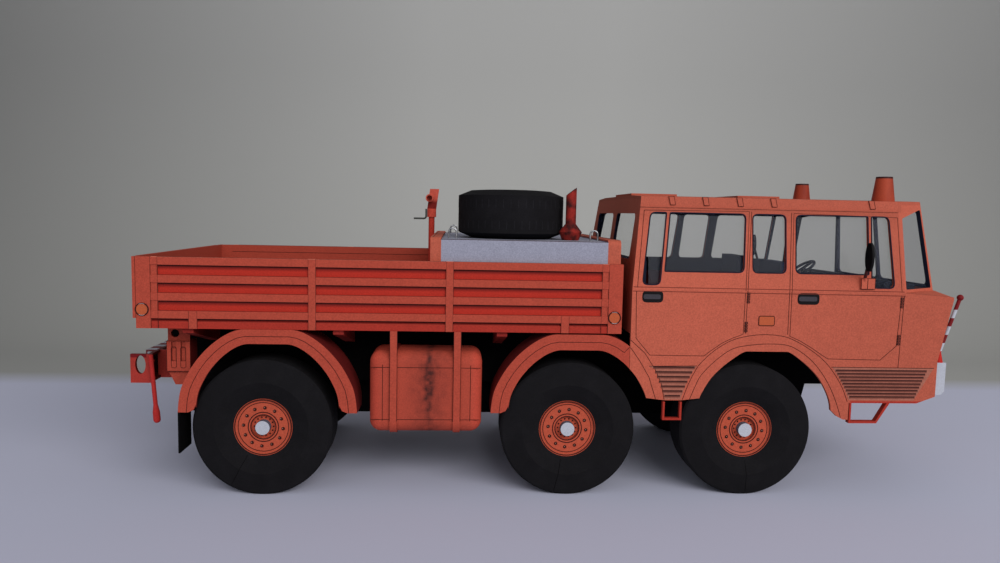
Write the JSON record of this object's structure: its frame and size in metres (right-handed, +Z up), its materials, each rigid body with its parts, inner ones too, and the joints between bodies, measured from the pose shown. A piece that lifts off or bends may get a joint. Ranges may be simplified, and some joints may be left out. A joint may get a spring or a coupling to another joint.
{
  "type": "card model of a six-wheeled crew-cab truck",
  "caption": "Small paper scale model of a crew-cab haulage truck with a ribbed open load bed, ballast block, spare wheel, beacons and free-turning wheels.",
  "frame": {"origin": "on the floor under the middle of the model's length and width", "axes": "+X towards the cab, +Y to the truck's left, +Z up"},
  "size_m": [0.2524, 0.089, 0.0972],
  "materials": {
    "cab_card": "printed matte card",
    "bed_card": "printed matte card",
    "rim_card": "printed matte card",
    "tyre_card": "matte black card",
    "black_card": "matte black card",
    "block_card": "speckled grey card",
    "white_card": "matte white card",
    "white_stick": "satin",
    "seat_card": "matte card",
    "wire": "dull wire",
    "beacon_card": "printed matte card",
    "clear_film": "clear film"
  },
  "bodies": {
    "truck": {"axle_sticks": "white_stick", "backbone": "black_card", "ballast_block": "block_card", "beacons": "beacon_card", "bed_floor": "bed_card", "block_end_plates": "bed_card", "cab_floor": "black_card", "cab_front": "cab_card", "cab_rear": "cab_card", "cab_roof": "cab_card", "cab_side_left": "cab_card", "cab_side_right": "cab_card", "cross_bearers": "bed_card", "dashboard": "black_card", "drop_levers": "bed_card", "front_bumper": "white_card", "fuel_tanks": "bed_card", "glazing": "clear_film", "half_axles": "black_card", "headboard": "bed_card", "headlamps": "white_card", "hoist_crank": "wire", "hoist_head": "bed_card", "hoist_post": "bed_card", "lamp_boxes": "bed_card", "lifting_eyes": "wire", "marker_rods": "white_stick", "mirrors": "black_card", "mudflaps": "black_card", "mudguard_middle_left": "bed_card", "mudguard_middle_right": "bed_card", "mudguard_rear_left": "bed_card", "mudguard_rear_right": "bed_card", "rear_beam": "bed_card", "roof_hatches": "cab_card", "seats": "seat_card", "side_board_left": "bed_card", "side_board_right": "bed_card", "slant_cut_pipe": "bed_card", "spare_rim": "rim_card", "spare_tyre": "tyre_card", "steps": "cab_card", "tailboard": "bed_card", "tank_hangers": "bed_card"},
    "wheel_rear_right": {"tyre_rear_right": "tyre_card", "rim_rear_right": "rim_card"},
    "wheel_rear_left": {"tyre_rear_left": "tyre_card", "rim_rear_left": "rim_card"},
    "wheel_middle_right": {"tyre_middle_right": "tyre_card", "rim_middle_right": "rim_card"},
    "wheel_middle_left": {"tyre_middle_left": "tyre_card", "rim_middle_left": "rim_card"},
    "wheel_front_right": {"tyre_front_right": "tyre_card", "rim_front_right": "rim_card"},
    "wheel_front_left": {"tyre_front_left": "tyre_card", "rim_front_left": "rim_card"}
  },
  "joints": [
    {"name": "wheel_rear_right_turns", "type": "hinge", "parent": "truck", "child": "wheel_rear_right", "pos_m": [-0.08255, -0.0319, 0.02], "axis": [0, 1, 0], "continuous": true},
    {"name": "wheel_rear_left_turns", "type": "hinge", "parent": "truck", "child": "wheel_rear_left", "pos_m": [-0.08255, 0.0319, 0.02], "axis": [0, 1, 0], "continuous": true},
    {"name": "wheel_middle_right_turns", "type": "hinge", "parent": "truck", "child": "wheel_middle_right", "pos_m": [0.00665, -0.0319, 0.02], "axis": [0, 1, 0], "continuous": true},
    {"name": "wheel_middle_left_turns", "type": "hinge", "parent": "truck", "child": "wheel_middle_left", "pos_m": [0.00665, 0.0319, 0.02], "axis": [0, 1, 0], "continuous": true},
    {"name": "wheel_front_right_turns", "type": "hinge", "parent": "truck", "child": "wheel_front_right", "pos_m": [0.06055, -0.0319, 0.02], "axis": [0, 1, 0], "continuous": true},
    {"name": "wheel_front_left_turns", "type": "hinge", "parent": "truck", "child": "wheel_front_left", "pos_m": [0.06055, 0.0319, 0.02], "axis": [0, 1, 0], "continuous": true}
  ]
}
